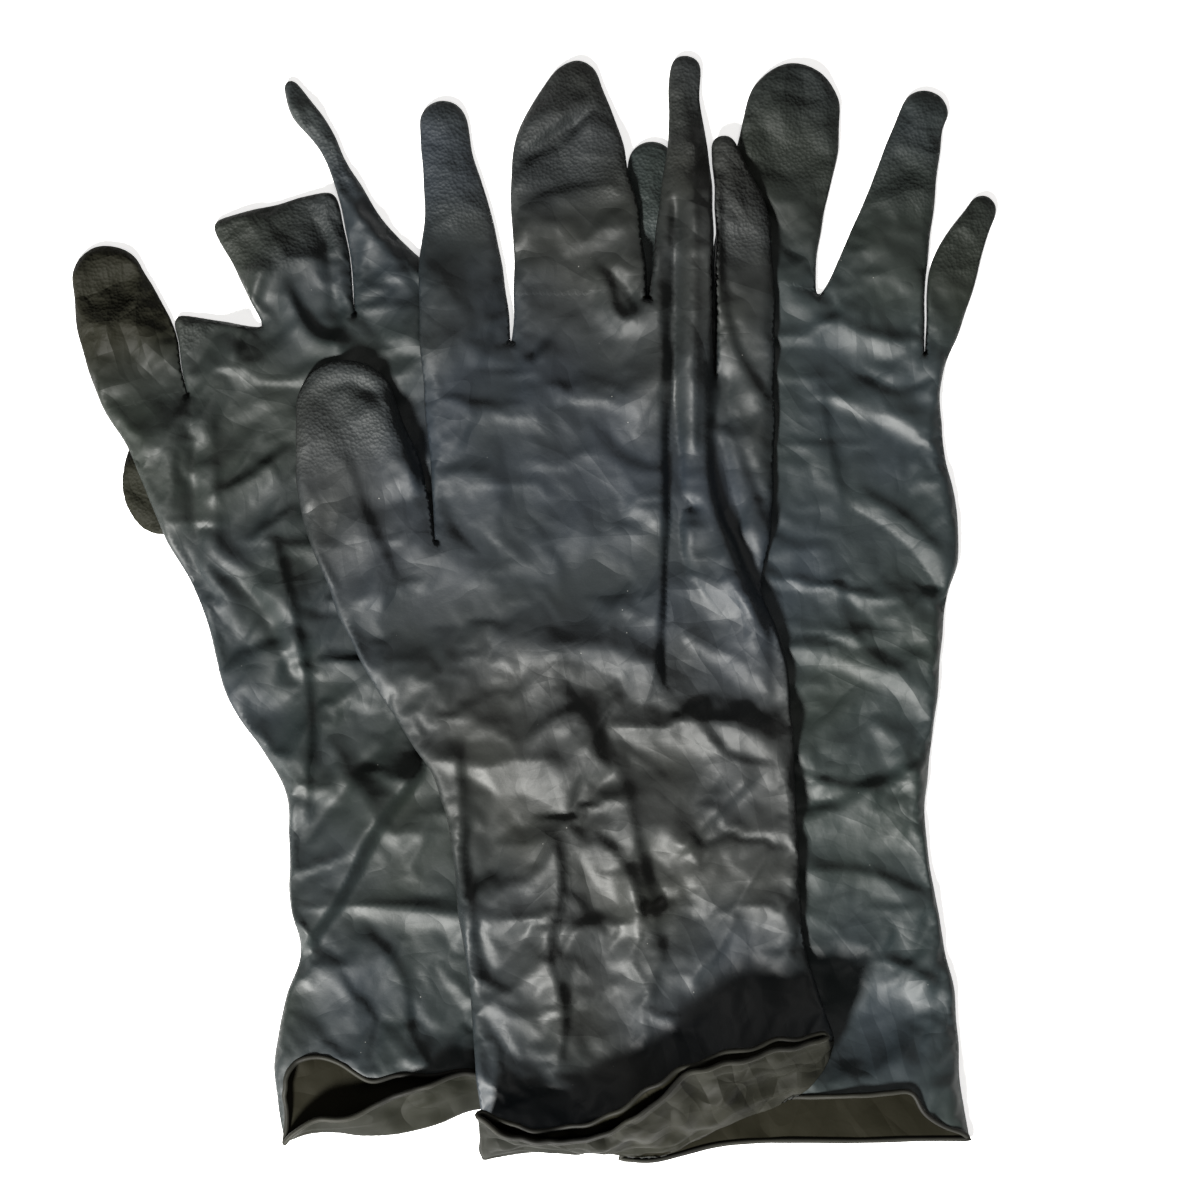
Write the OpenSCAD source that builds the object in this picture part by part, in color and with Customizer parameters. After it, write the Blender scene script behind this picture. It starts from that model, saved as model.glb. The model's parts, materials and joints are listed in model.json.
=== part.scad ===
// A pile of three thin dipped gloves with long gauntlet cuffs, lying flat on a table.
// The left and right gloves lie side by side and the top glove rests on both.
// Every glove is a flattened bag of film, open at the cuff, that folds at its fingers, wrist and rim.
// The origin is at table level under the left palm; +Y points to the fingertips and +Z up.

/* [Film] */
// Thickness of the dipped film
film_t = 0.25; // [0.2:0.05:0.35]
// Thickness of a flattened glove: two layers of film and the air between them
bag_t = 5; // [4:0.5:6]
// Clearance round a fold line, between the piece that folds and the piece it folds on
fold_gap = 0.5; // [0.4:0.05:0.6]
// Air between the two lower gloves and the top glove
stack_gap = 0.5; // [0.3:0.1:1.5]

/* [Fingers] */
// Length of a thumb
thumb_l = 54; // [50:1:56]
// Width of a flat thumb at its root
thumb_w = 30; // [26:1:30]
// Length of an index finger
index_l = 70; // [64:1:72]
// Width of a flat index finger at its root
index_w = 24; // [20:1:24]
// Length of a middle finger
middle_l = 71; // [66:1:74]
// Width of a flat middle finger at its root
middle_w = 34; // [30:1:34]
// Length of a ring finger
ring_l = 67; // [62:1:70]
// Width of a flat ring finger at its root
ring_w = 28; // [24:1:28]
// Length of a little finger
little_l = 66; // [60:1:68]
// Width of a flat little finger at its root
little_w = 22; // [18:1:22]

/* [Cuffs] */
// Length of the flat rims of the two lower gloves
rim_l = 13; // [9:1:15]
// Length of the turned-up lip of the top glove
lip_l = 19; // [14:1:24]
// Angle of the turned-up lip above its own gauntlet
lip_lift = 45; // [40:5:90]
// Radius of the rolled bead round each mouth
bead_r = 1; // [0.8:0.1:1.2]

/* [Colours] */
// Colour of the top glove
top_colour = "#2f3433"; // [#2f3433:charcoal, #1d1f22:black, #2b3a4a:slate]
// Colour of the right glove
right_colour = "#2b302f"; // [#2b302f:charcoal, #1b1d20:black, #283644:slate]
// Colour of the left glove
left_colour = "#272c2c"; // [#272c2c:charcoal, #191b1e:black, #24323f:slate]

/* [Hidden] */

nose_r = bag_t / 2 - 0.05;       // round edge that a folding piece turns on
notch_r = bag_t / 2 + fold_gap;  // round recess that the nose sits in
side_gap = 0.5;                  // from a finger's side to the end of its seat in the palm
notch_over = 0.7;                // how far a recess runs past the seat
nose_back = 0.5;                 // how far the nose stops short of the piece's sides
slit_half = 0.8;                 // half the height of the slit through the nose
open_over = 0.5;                 // how far a hollow runs out through an open end
bead_gap = 0.05;                 // between a rim's edge and its bead
top_z = bag_t + stack_gap;       // underside of the top glove
wrist_y = -50;                   // fold line between palm and gauntlet
tip_steps = 10;                  // flats round a fingertip
knee_share = 0.35;               // where a bent finger turns, as a share of its length
$fn = 48;

// A finger is [root x, root y, lean, length, root width, tip width, bend]: lean turns it
// left from +Y, and bend turns it further left from its knee.
top_thumb = [-40, 14, 12, thumb_l, thumb_w, 0.88 * thumb_w, 0];
top_index = [-17.5, 67, 5, index_l, index_w, 0.56 * index_w, 2];
top_middle = [12.8, 77, 1, middle_l, middle_w, 0.76 * middle_w, 0];
top_ring = [40.3, 82.5, -1, ring_l, 0.55 * ring_w, 0.3 * ring_w, 0];
top_little = [56.6, 62, 0, little_l, 0.66 * little_w, 0.4 * little_w, 3];

right_thumb = [16.2, 8, 0, thumb_l, 0.43 * thumb_w, 0.37 * thumb_w, 0];
right_index = [33.6, 74, 2, 0.74 * index_l, 0.77 * index_w, 0.58 * index_w, 0];
right_middle = [60, 82, -11, 0.93 * middle_l, 0.91 * middle_w, 0.74 * middle_w, 0];
right_ring = [92, 77, -14, 0.97 * ring_l, 0.98 * ring_w, 0.46 * ring_w, 0];
right_little = [110.5, 65.5, -16, 0.71 * little_l, 0.43 * little_w, 0.5 * little_w, 0];

left_thumb = [0.3, 8, 0, thumb_l, 0.43 * thumb_w, 0.37 * thumb_w, 0];
left_index = [-40, 83, 14, 0.95 * index_l, 0.7 * index_w, 0.2 * index_w, 14];
left_middle = [-61, 77, 18, 0.45 * middle_l, 0.59 * middle_w, 0.79 * middle_w, 0];
left_ring = [-83, 61, 8, 0.21 * ring_l, 0.66 * ring_w, 0.68 * ring_w, 0];
left_little = [-104, 52, 15, 0.71 * little_l, little_w, 0.77 * little_w, 1];
left_ring_tip = [-104.8, 30.5, 115.5, 0.13 * ring_l, 0.64 * ring_w, 0.46 * ring_w, 0];

// The two sides of each gauntlet, from the wrist to its mouth.
top_sleeve_l = [[-25.5, wrist_y], [-17, -105], [-13, -146]];
top_sleeve_r = [[70.5, wrist_y], [73, -87], [80.5, -117]];
right_sleeve_l = [[22, wrist_y], [22, -134.5]];
right_sleeve_r = [[106.3, wrist_y], [108.5, -78], [113.8, -105], [115.5, -134.5]];
left_sleeve_l = [[-66.5, wrist_y], [-63.5, -92], [-69.5, -128]];
left_sleeve_r = [[18, wrist_y], [18, -128]];

function unit(v) = v / norm(v);
function left_normal(v) = [-v[1], v[0]];
function last(list) = list[len(list) - 1];
function mid(a, b) = (a + b) / 2;

// An outline that runs anticlockwise, moved inwards by d.
function inset(p, d) = [
    for (i = [0 : len(p) - 1])
        let (
            n = len(p),
            before = left_normal(unit(p[i] - p[(i + n - 1) % n])),
            after = left_normal(unit(p[(i + 1) % n] - p[i]))
        )
        p[i] + d * (before + after) / (1 + before * after)
];

function root(f) = [f[0], f[1]];
function lean(f) = f[2];
function length_of(f) = f[3];
function root_w(f) = f[4];
function tip_w(f) = f[5];
function bend(f) = f[6];
function seat_w(f) = root_w(f) + 2 * side_gap;

// One end of a finger's seat on the palm: side is 1 for its right and -1 for its left.
function seat_end(f, side) = root(f) + side * seat_w(f) / 2 * [cos(lean(f)), sin(lean(f))];

// A finger's outline inside its skin of thickness m, and open past its root by over.
function finger_outline(f, m, over) =
    let (
        knee_y = knee_share * length_of(f),
        tip_r = tip_w(f) / 2 - m,
        reach = length_of(f) - knee_y - tip_w(f) / 2,
        centre = [-reach * sin(bend(f)), knee_y + reach * cos(bend(f))],
        half = root_w(f) / 2 - m,
        knee = ((1 - knee_share) * root_w(f) + knee_share * tip_w(f)) / 2 - m
    )
    concat(
        [[half, -over], [knee, knee_y]],
        [for (i = [0 : tip_steps])
            let (a = bend(f) + 180 * i / tip_steps)
            centre + tip_r * [cos(a), sin(a)]],
        [[-knee, knee_y], [-half, -over]]
    );

// A finger folded back on itself ends square at the fold.
function folded_outline(f, m, over) =
    let (half = root_w(f) / 2 - m, end = tip_w(f) / 2 - m, top = length_of(f) - m)
    [[half, -over], [end, top], [-end, top], [-half, -over]];

// One side of a sleeve moved sideways by x, and made longer at both ends by over.
function sleeve_side(side, x, over) =
    let (end = len(side) - 1)
    [for (i = [0 : end]) side[i] + [x, i == 0 ? over : i == end ? -over : 0]];

// A sleeve's outline inside its skin of thickness m, and open past both ends by over.
function sleeve_outline(left, right, m, over) =
    let (back = sleeve_side(right, -m, over), end = len(right) - 1)
    concat(
        sleeve_side(left, m, over),
        [for (i = [0 : end]) back[end - i]]
    );

// A rod along X at mid height, on the fold line of a piece whose root is at the origin.
module fold_rod(r, w) {
    translate([0, 0, bag_t / 2])
        rotate([0, 90, 0])
            cylinder(r = r, h = w, center = true);
}

module at_root(f, z) {
    translate([f[0], f[1], z])
        rotate([0, 0, lean(f)])
            children();
}

// A prism as thick as the glove, and the hollow that leaves one film on either side.
module slab(outline) {
    linear_extrude(bag_t)
        polygon(outline);
}

module hollow(outline) {
    translate([0, 0, film_t])
        linear_extrude(bag_t - 2 * film_t)
            polygon(outline);
}

// The rounded root edge of a folding piece, w wide, and what is cut from inside it.
module nose(w) {
    fold_rod(nose_r, w - 2 * nose_back);
}

module nose_hollow(w) {
    inner_w = w - 2 * nose_back - 2 * film_t;
    fold_rod(nose_r - film_t, inner_w);
    translate([-inner_w / 2, -bag_t, bag_t / 2 - slit_half])
        cube([inner_w, bag_t, 2 * slit_half]);
}

module finger_bag(f, outer, inner) {
    difference() {
        union() {
            slab(outer);
            nose(root_w(f));
        }
        hollow(inner);
        nose_hollow(root_w(f));
    }
}

module finger(f, z) {
    at_root(f, z)
        finger_bag(f, finger_outline(f, 0, 0), finger_outline(f, film_t, open_over));
}

module folded_finger(f, z) {
    at_root(f, z)
        finger_bag(f, folded_outline(f, 0, 0), folded_outline(f, film_t, open_over));
}

// A palm with a round recess at the seat of every finger and along the wrist.
module palm(outline, fingers, wrist_l, wrist_r, z) {
    difference() {
        translate([0, 0, z])
            difference() {
                slab(outline);
                hollow(inset(outline, film_t));
            }
        for (f = fingers)
            at_root(f, z)
                fold_rod(notch_r, seat_w(f) + 2 * notch_over);
        translate([mid(wrist_l, wrist_r)[0], wrist_y, z])
            fold_rod(notch_r, norm(wrist_r - wrist_l) + 2 * notch_over);
    }
}

// A sleeve from the wrist to the mouth, with its nose in the palm's recess.
module gauntlet(left, right, z) {
    wrist_w = norm(right[0] - left[0]);
    translate([0, 0, z])
        difference() {
            union() {
                slab(sleeve_outline(left, right, 0, 0));
                translate([mid(left[0], right[0])[0], wrist_y, 0])
                    nose(wrist_w);
            }
            hollow(sleeve_outline(left, right, film_t, open_over));
            translate([mid(left[0], right[0])[0], wrist_y, 0])
                rotate([0, 0, 180])
                    nose_hollow(wrist_w);
        }
}

// The mouth's fold line runs from the end of the left side to the end of the right side.
function mouth_mid(left, right) = mid(last(left), last(right));
function mouth_w(left, right) = norm(last(right) - last(left));
function mouth_turn(left, right) =
    let (v = last(right) - last(left)) 180 + atan2(v[1], v[0]);

// Puts a rim on its sleeve's mouth, turned up by lift, with its fold line raised by rise.
module at_mouth(left, right, z, lift, rise) {
    c = mouth_mid(left, right);
    translate([c[0], c[1], z + bag_t / 2 + rise])
        rotate([0, 0, mouth_turn(left, right)])
            rotate([lift, 0, 0])
                translate([0, 0, -bag_t / 2])
                    children();
}

module gauntlet_with_seat(left, right, z) {
    difference() {
        gauntlet(left, right, z);
        at_mouth(left, right, z, 0, 0)
            fold_rod(notch_r, mouth_w(left, right) + 2 * notch_over);
    }
}

// The last band of the sleeve, l long and w wide, up to its bead.
module rim_band(w, l) {
    edge = l - 2 * bead_r - bead_gap;
    difference() {
        union() {
            translate([-w / 2, 0, 0])
                cube([w, edge, bag_t]);
            nose(w);
        }
        translate([-w / 2 + film_t, -open_over, film_t])
            cube([w - 2 * film_t, edge + 2 * open_over, bag_t - 2 * film_t]);
        nose_hollow(w);
    }
}

// The rolled bead: two straight runs joined by a half ring at either side.
module bead_ring(w, l) {
    turn_r = bag_t / 2 - bead_r;
    straight = w - bag_t;
    translate([0, l - bead_r, bag_t / 2]) {
        for (side = [-1, 1])
            translate([0, 0, side * turn_r])
                rotate([0, 90, 0])
                    cylinder(r = bead_r, h = straight, center = true);
        for (side = [0, 180])
            rotate([0, side, 0])
                translate([straight / 2, 0, 0])
                    rotate([90, 0, 0])
                        rotate([0, 0, -90])
                            rotate_extrude(angle = 180)
                                translate([turn_r, 0, 0])
                                    circle(r = bead_r);
    }
}

// Top glove: its lip is folded back over the gauntlet and stands up at an angle.
top_lift = 180 - lip_lift;
top_rise = bag_t + fold_gap;

module top_palm() {
    fingers = [top_thumb, top_index, top_middle, top_ring, top_little];
    outline = [
        top_sleeve_l[0], top_sleeve_r[0], [67, -9], [62.5, 6], [64.6, 30],
        seat_end(top_little, 1), seat_end(top_little, -1),
        seat_end(top_ring, 1), seat_end(top_ring, -1),
        seat_end(top_middle, 1), seat_end(top_middle, -1),
        seat_end(top_index, 1), seat_end(top_index, -1), [-28.5, 52],
        seat_end(top_thumb, 1), seat_end(top_thumb, -1),
        [-48, -11], [-33, -35.5]
    ];
    color(top_colour)
        palm(outline, fingers, top_sleeve_l[0], top_sleeve_r[0], top_z);
}

module top_gauntlet() {
    color(top_colour)
        gauntlet(top_sleeve_l, top_sleeve_r, top_z);
}

module top_rim() {
    color(top_colour)
        at_mouth(top_sleeve_l, top_sleeve_r, top_z, top_lift, top_rise)
            rim_band(mouth_w(top_sleeve_l, top_sleeve_r), lip_l);
}

module top_bead() {
    color(top_colour)
        at_mouth(top_sleeve_l, top_sleeve_r, top_z, top_lift, top_rise)
            bead_ring(mouth_w(top_sleeve_l, top_sleeve_r), lip_l);
}

module top_thumb_tube() { color(top_colour) finger(top_thumb, top_z); }
module top_index_finger() { color(top_colour) finger(top_index, top_z); }
module top_middle_finger() { color(top_colour) finger(top_middle, top_z); }
module top_ring_finger() { color(top_colour) finger(top_ring, top_z); }
module top_little_finger() { color(top_colour) finger(top_little, top_z); }

// Right glove
module right_palm() {
    fingers = [right_thumb, right_index, right_middle, right_ring, right_little];
    outline = [
        right_sleeve_l[0], right_sleeve_r[0], [109.3, -25], [114.2, 8], [113, 33],
        seat_end(right_little, 1), seat_end(right_little, -1),
        seat_end(right_ring, 1), seat_end(right_ring, -1),
        seat_end(right_middle, 1), seat_end(right_middle, -1),
        seat_end(right_index, 1), seat_end(right_index, -1), [24.2, 30],
        seat_end(right_thumb, 1), seat_end(right_thumb, -1), [16, -20]
    ];
    color(right_colour)
        palm(outline, fingers, right_sleeve_l[0], right_sleeve_r[0], 0);
}

module right_gauntlet() {
    color(right_colour)
        gauntlet_with_seat(right_sleeve_l, right_sleeve_r, 0);
}

module right_rim() {
    color(right_colour)
        at_mouth(right_sleeve_l, right_sleeve_r, 0, 0, 0)
            rim_band(mouth_w(right_sleeve_l, right_sleeve_r), rim_l);
}

module right_bead() {
    color(right_colour)
        at_mouth(right_sleeve_l, right_sleeve_r, 0, 0, 0)
            bead_ring(mouth_w(right_sleeve_l, right_sleeve_r), rim_l);
}

module right_thumb_tube() { color(right_colour) finger(right_thumb, 0); }
module right_index_finger() { color(right_colour) finger(right_index, 0); }
module right_middle_finger() { color(right_colour) finger(right_middle, 0); }
module right_ring_finger() { color(right_colour) finger(right_ring, 0); }
module right_little_finger() { color(right_colour) finger(right_little, 0); }

// Left glove: its ring and middle fingers are folded back under the hand.
module left_palm() {
    fingers = [left_thumb, left_index, left_middle, left_ring, left_little, left_ring_tip];
    outline = [
        left_sleeve_l[0], left_sleeve_r[0], [10, -20],
        seat_end(left_thumb, 1), seat_end(left_thumb, -1), [-8, 45], [-14, 72],
        seat_end(left_index, 1), seat_end(left_index, -1),
        seat_end(left_middle, 1), seat_end(left_middle, -1),
        seat_end(left_ring, 1), seat_end(left_ring, -1),
        seat_end(left_little, 1), seat_end(left_little, -1),
        seat_end(left_ring_tip, 1), seat_end(left_ring_tip, -1),
        [-89.9, 2.3], [-81.8, -24.7]
    ];
    color(left_colour)
        palm(outline, fingers, left_sleeve_l[0], left_sleeve_r[0], 0);
}

module left_gauntlet() {
    color(left_colour)
        gauntlet_with_seat(left_sleeve_l, left_sleeve_r, 0);
}

module left_rim() {
    color(left_colour)
        at_mouth(left_sleeve_l, left_sleeve_r, 0, 0, 0)
            rim_band(mouth_w(left_sleeve_l, left_sleeve_r), rim_l);
}

module left_bead() {
    color(left_colour)
        at_mouth(left_sleeve_l, left_sleeve_r, 0, 0, 0)
            bead_ring(mouth_w(left_sleeve_l, left_sleeve_r), rim_l);
}

module left_thumb_tube() { color(left_colour) finger(left_thumb, 0); }
module left_index_finger() { color(left_colour) finger(left_index, 0); }
module left_middle_finger() { color(left_colour) folded_finger(left_middle, 0); }
module left_ring_finger() { color(left_colour) folded_finger(left_ring, 0); }
module left_ring_tip_end() { color(left_colour) finger(left_ring_tip, 0); }
module left_little_finger() { color(left_colour) finger(left_little, 0); }

left_palm();
left_gauntlet();
left_rim();
left_bead();
left_thumb_tube();  // left_thumb
left_index_finger();
left_middle_finger();
left_ring_finger();
left_ring_tip_end();  // left_ring_tip
left_little_finger();
right_palm();
right_gauntlet();
right_rim();
right_bead();
right_thumb_tube();  // right_thumb
right_index_finger();
right_middle_finger();
right_ring_finger();
right_little_finger();
top_palm();
top_gauntlet();
top_rim();
top_bead();
top_thumb_tube();  // top_thumb
top_index_finger();
top_middle_finger();
top_ring_finger();
top_little_finger();
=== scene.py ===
"""Looks of a pile of three thin dipped gloves: two side by side on a table and one on top."""

import json
import math

import bpy
import numpy as np
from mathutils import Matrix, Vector, geometry, noise
from mathutils.bvhtree import BVHTree

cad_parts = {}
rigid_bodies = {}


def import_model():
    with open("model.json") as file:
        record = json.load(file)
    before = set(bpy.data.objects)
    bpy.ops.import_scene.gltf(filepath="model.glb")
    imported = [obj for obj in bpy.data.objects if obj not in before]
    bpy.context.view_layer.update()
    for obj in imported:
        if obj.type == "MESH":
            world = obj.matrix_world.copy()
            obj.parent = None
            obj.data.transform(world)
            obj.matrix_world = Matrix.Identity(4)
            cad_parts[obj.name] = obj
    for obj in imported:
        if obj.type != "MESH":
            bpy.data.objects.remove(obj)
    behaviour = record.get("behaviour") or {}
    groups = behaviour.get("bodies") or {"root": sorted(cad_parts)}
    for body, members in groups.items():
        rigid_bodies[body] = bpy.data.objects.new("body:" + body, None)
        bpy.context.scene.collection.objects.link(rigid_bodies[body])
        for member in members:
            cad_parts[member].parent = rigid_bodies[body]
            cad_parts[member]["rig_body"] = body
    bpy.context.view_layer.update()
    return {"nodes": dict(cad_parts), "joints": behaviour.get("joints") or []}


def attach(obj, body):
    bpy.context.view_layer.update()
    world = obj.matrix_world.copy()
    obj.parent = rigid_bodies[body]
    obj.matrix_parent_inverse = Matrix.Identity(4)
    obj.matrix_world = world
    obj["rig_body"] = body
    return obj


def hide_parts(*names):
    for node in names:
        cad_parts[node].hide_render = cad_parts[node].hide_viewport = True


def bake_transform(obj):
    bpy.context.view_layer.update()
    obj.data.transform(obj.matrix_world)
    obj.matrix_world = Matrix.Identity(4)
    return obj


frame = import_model()

# Lengths are in millimetres in the row frame until a mesh is made.
MM = 0.001
STEP = 1.9  # distance between neighbouring vertices of an upper film layer
UNDER_STEP = 3.2  # the same for an under layer, which lies flat
CURVE_PARTS = 24  # parts into which a curve is split between two of its points
FILM = 0.25  # film thickness
WAVER = 0.55  # how far a real glove's outline wavers about its drawn one
EDGE_ROW = 1.4  # first row of film vertices inside a folded edge
EDGE_Z = 0.9  # height of a flat glove's folded edge above what it lies on
UNDER_Z = 0.35  # height of an under layer above what it lies on
PUFF = 2.1  # air between a flat glove's two layers, well inside its edge
EDGE_REACH = 3.4  # how far from the edge the air reaches two thirds of its depth
UNDER_REACH = 2.5  # the same for the slope of an under layer down from its edge
MOUTH_Z = 0.6  # least height of a mouth's rim above what it lies on
MOUTH_REACH = 11.0  # how far from a mouth its height is felt
BEAD_R = 0.75  # radius of the rolled bead at a mouth
BEAD_SIDES = 10
NEARLY_UP = (0.11, 0.23, 1.0)  # no part of a mouth runs in exactly this direction

NOISE = 64  # cells after which the noise repeats
FACET_WAVES = 5  # directions in which crumpled film creases
SWELL = 18.0  # size of the soft swells that a film has before it settles
SWELL_HEIGHT = 0.5
CRUMPLE = 24.0  # size of its crumples, which grow with its extra length
CRUMPLE_RISE = 1.1 / 0.06  # their height for each share of extra length
FLAT_EDGE = 4.0  # how far from the edge swells and crumples reach their full height
HIGH_SHARE = 0.35  # share of its height above a glove's highest that settled film keeps
CREASE = 14.0  # size of the larger creases that are added when it has settled
CREASE_HEIGHT = 0.55
SMALL_CREASE = 6.5
SMALL_CREASE_HEIGHT = 0.32
CREASE_PATCH = 34.0  # size of the areas in which film is more or less creased
LIP_CREASES = 2.6  # how much deeper the creases of a turned lip are
MOST_CREASED = 0.04  # share of extra length at which film is fully creased
EDGE_CREASE = 0.8  # sharpness of a glove's folded edge, up to 1
STEEP = 2.0  # width of a pleat's steep side
TO_LIGHT = (-0.75, -0.65)  # side to which pleats slope gently, near that of the key light


# ---------------------------------------------------------------- outlines


def tip(x, y, radius, lean, turns=8):
    """Round end of a finger that leans left of +Y by lean degrees, from its right to its left."""
    angles = np.radians(lean + np.linspace(0, 180, turns + 1))
    return [(x + radius * math.cos(a), y + radius * math.sin(a)) for a in angles]


# Each hand runs anticlockwise from the right corner of its mouth to the left corner.
TOP_HAND = [
    (81.5, -116), (76, -100), (73.1, -86.9), (71, -52), (69.6, -24.7), (66.9, -8.5),
    (61.8, 5), (64.3, 20), (65.2, 45), (65.2, 80), (64.6, 97), (62.4, 110), (57.5, 120),
    *tip(51.9, 124.3, 3.4, 10, 6),
    (48.9, 112), (49.3, 98), (49.35, 66), (49.05, 62), (48.75, 66), (48.65, 98),
    (48.3, 112), (47.4, 124), (45.3, 137),
    *tip(41.2, 145.6, 4.0, 0, 6),
    (36.9, 137.4), (35.6, 118.5), (32.8, 97), (31.2, 83.4), (30.2, 93), (28.6, 106),
    (25.9, 118.5), (24.4, 126), (21.4, 134), (18.9, 140.5), (16.4, 146), (12.3, 148.3),
    (8, 146.8), (2.6, 140), (-2.4, 132), (-4.8, 125), (-5.8, 115), (-4.9, 86), (-5.3, 71.2),
    (-7.2, 86), (-9.6, 99),
    (-12.5, 111), (-16.6, 123),
    *tip(-24, 130.8, 6.6, 8),
    (-29.6, 120), (-29.2, 108), (-30.4, 90), (-29.3, 60), (-27.2, 36), (-26.1, 17.2),
    (-28, 30), (-32, 44),
    *tip(-50.2, 53.6, 13.4, 12),
    (-63.6, 42), (-62.8, 28), (-56.3, 9.1), (-48, -11.2), (-33.1, -35.5),
    (-25, -49.1), (-20.1, -78.8), (-16.9, -105.8), (-14, -135), (-13.6, -149.2),
]
RIGHT_HAND = [
    (118, -143.3), (115.6, -128), (114.2, -105.8), (108.8, -78.8), (106.1, -51.8),
    (109.3, -24.7), (111.5, 0.9), (114.7, 13.1), (114.2, 29.3), (110.3, 48.2),
    (110.8, 63.7), (114.8, 73.6), (119.8, 89.5), (123.4, 102.5),
    *tip(121.4, 107.8, 3.8, -20, 6),
    (112.8, 102.4), (108.6, 95.6), (107.2, 91), (106.6, 78), (105.8, 68), (106, 78),
    (106.5, 92), (107.4, 100), (110, 123), (111.2, 131),
    *tip(105.8, 133.6, 6.4, -14, 6),
    (94.6, 122), (89.6, 110), (82.6, 94), (77, 83.9), (77, 96), (79.8, 111.5),
    (82.6, 124),
    *tip(70.6, 134.8, 12.4, -10),
    (54.6, 122), (50.5, 106), (47, 90), (44.5, 80), (43.4, 94), (40.6, 110),
    *tip(32.4, 119.4, 6.6, 3, 6),
    (24.8, 106), (24.2, 80), (24, 30), (23.3, 12), (22.3, 26), (22, 48),
    *tip(16.2, 55.4, 5.8, 0, 6),
    (10.1, 44), (9.9, 24), (9.8, 8), (16, -20), (21.5, -50), (22, -90), (23.6, -148.6),
]
LEFT_HAND = [
    (17.5, -139), (17.5, -90), (17, -50), (10, -20), (7, 8), (6.9, 28), (6.4, 45),
    *tip(0.3, 55.4, 5.8, 0, 6),
    (-5.7, 44), (-6.1, 20), (-7.2, 10), (-8.2, 26), (-9.5, 50), (-14, 72), (-22, 86),
    (-35.8, 99.6), (-44.5, 111), (-50.7, 121.2), (-57.2, 134),
    *tip(-65.4, 140.8, 1.9, 30, 6),
    (-64.4, 132), (-57, 123), (-53.7, 116), (-52.5, 111), (-49.7, 97), (-48.3, 85),
    (-47.9, 79), (-48.54, 85), (-49.95, 97), (-51.4, 104), (-52.4, 108.6), (-53.3, 111.4),
    (-54.8, 112.4), (-70, 108.8),
    (-84.6, 105), (-86, 103.8), (-79.6, 90), (-73.6, 78.6), (-72.8, 76), (-74.4, 75.9),
    (-85, 77.6), (-95.6, 79.2), (-96.6, 77), (-95.6, 72), (-94.6, 66), (-93.1, 57),
    (-94.82, 66), (-95.86, 72), (-97.1, 76.6), (-99.4, 82),
    *tip(-114.7, 88.4, 9.6, 16),
    (-122.6, 74), (-116.9, 56.4), (-108.8, 42.8), (-99.3, 19.9), (-89.9, 2.3),
    (-81.8, -24.7), (-66.9, -49.1), (-65.5, -78.8), (-62.8, -92.3), (-67.4, -108.5),
    (-69.8, -124), (-67, -144.2),
]
LEFT_TIP = [
    (-96, 52), (-94, 30), (-97.5, 20.2), (-104.6, 21.6), (-109.8, 28.6), (-110.6, 38),
    (-106, 48),
]


def spline(points, step, closed=False):
    """Centripetal Catmull-Rom curve through the points, sampled about every step."""
    p = np.array(points, float)
    if closed:
        p = np.vstack([p[-1:], p, p[:2]])
    else:
        p = np.vstack([2 * p[:1] - p[1:2], p, 2 * p[-1:] - p[-2:-1]])
    fine = []
    for p0, p1, p2, p3 in zip(p, p[1:], p[2:], p[3:]):
        knots = np.cumsum([0] + [math.sqrt(np.linalg.norm(b - a)) + 1e-9
                                 for a, b in ((p0, p1), (p1, p2), (p2, p3))])
        t = np.linspace(knots[1], knots[2], CURVE_PARTS, endpoint=False)[:, None]

        def mix(a, b, ka, kb):
            return (kb - t) / (kb - ka) * a + (t - ka) / (kb - ka) * b

        a1 = mix(p0, p1, knots[0], knots[1])
        a2 = mix(p1, p2, knots[1], knots[2])
        a3 = mix(p2, p3, knots[2], knots[3])
        b1 = mix(a1, a2, knots[0], knots[2])
        b2 = mix(a2, a3, knots[1], knots[3])
        fine.append(mix(b1, b2, knots[1], knots[2]))
    fine = np.vstack(fine + [p[-2:-1]])
    length = np.concatenate([[0], np.cumsum(np.linalg.norm(np.diff(fine, axis=0), axis=1))])
    count = max(2, round(length[-1] / step) + 1)
    s = np.linspace(0, length[-1], count)
    out = np.stack([np.interp(s, length, fine[:, k]) for k in range(fine.shape[1])], 1)
    return out[:-1] if closed else out


def nearest(points, line):
    """Distance from each point to an open 2-D or 3-D line, seen from above, and the place on it."""
    best = np.full(len(points), 1e9)
    place = np.zeros((len(points), line.shape[1]))
    for a, b in zip(line, line[1:]):
        ab = b - a
        t = np.clip((points - a[:2]) @ ab[:2] / max(ab[:2] @ ab[:2], 1e-12), 0, 1)
        on = a + t[:, None] * ab
        d = np.linalg.norm(points - on[:, :2], axis=1)
        nearer = d < best
        best[nearer], place[nearer] = d[nearer], on[nearer]
    return best, place


def edge_distance(points, loop):
    """Distance from each point to a closed loop."""
    return nearest(points, np.vstack([loop, loop[:1]]))[0]


def inside(points, loop):
    """Which points lie inside a closed loop."""
    hit = np.zeros(len(points), bool)
    for a, b in zip(loop, np.roll(loop, -1, 0)):
        crosses = (a[1] > points[:, 1]) != (b[1] > points[:, 1])
        rise = b[1] - a[1] if b[1] != a[1] else 1e-12
        x = a[0] + (points[:, 1] - a[1]) * (b[0] - a[0]) / rise
        hit ^= crosses & (points[:, 0] < x)
    return hit


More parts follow.
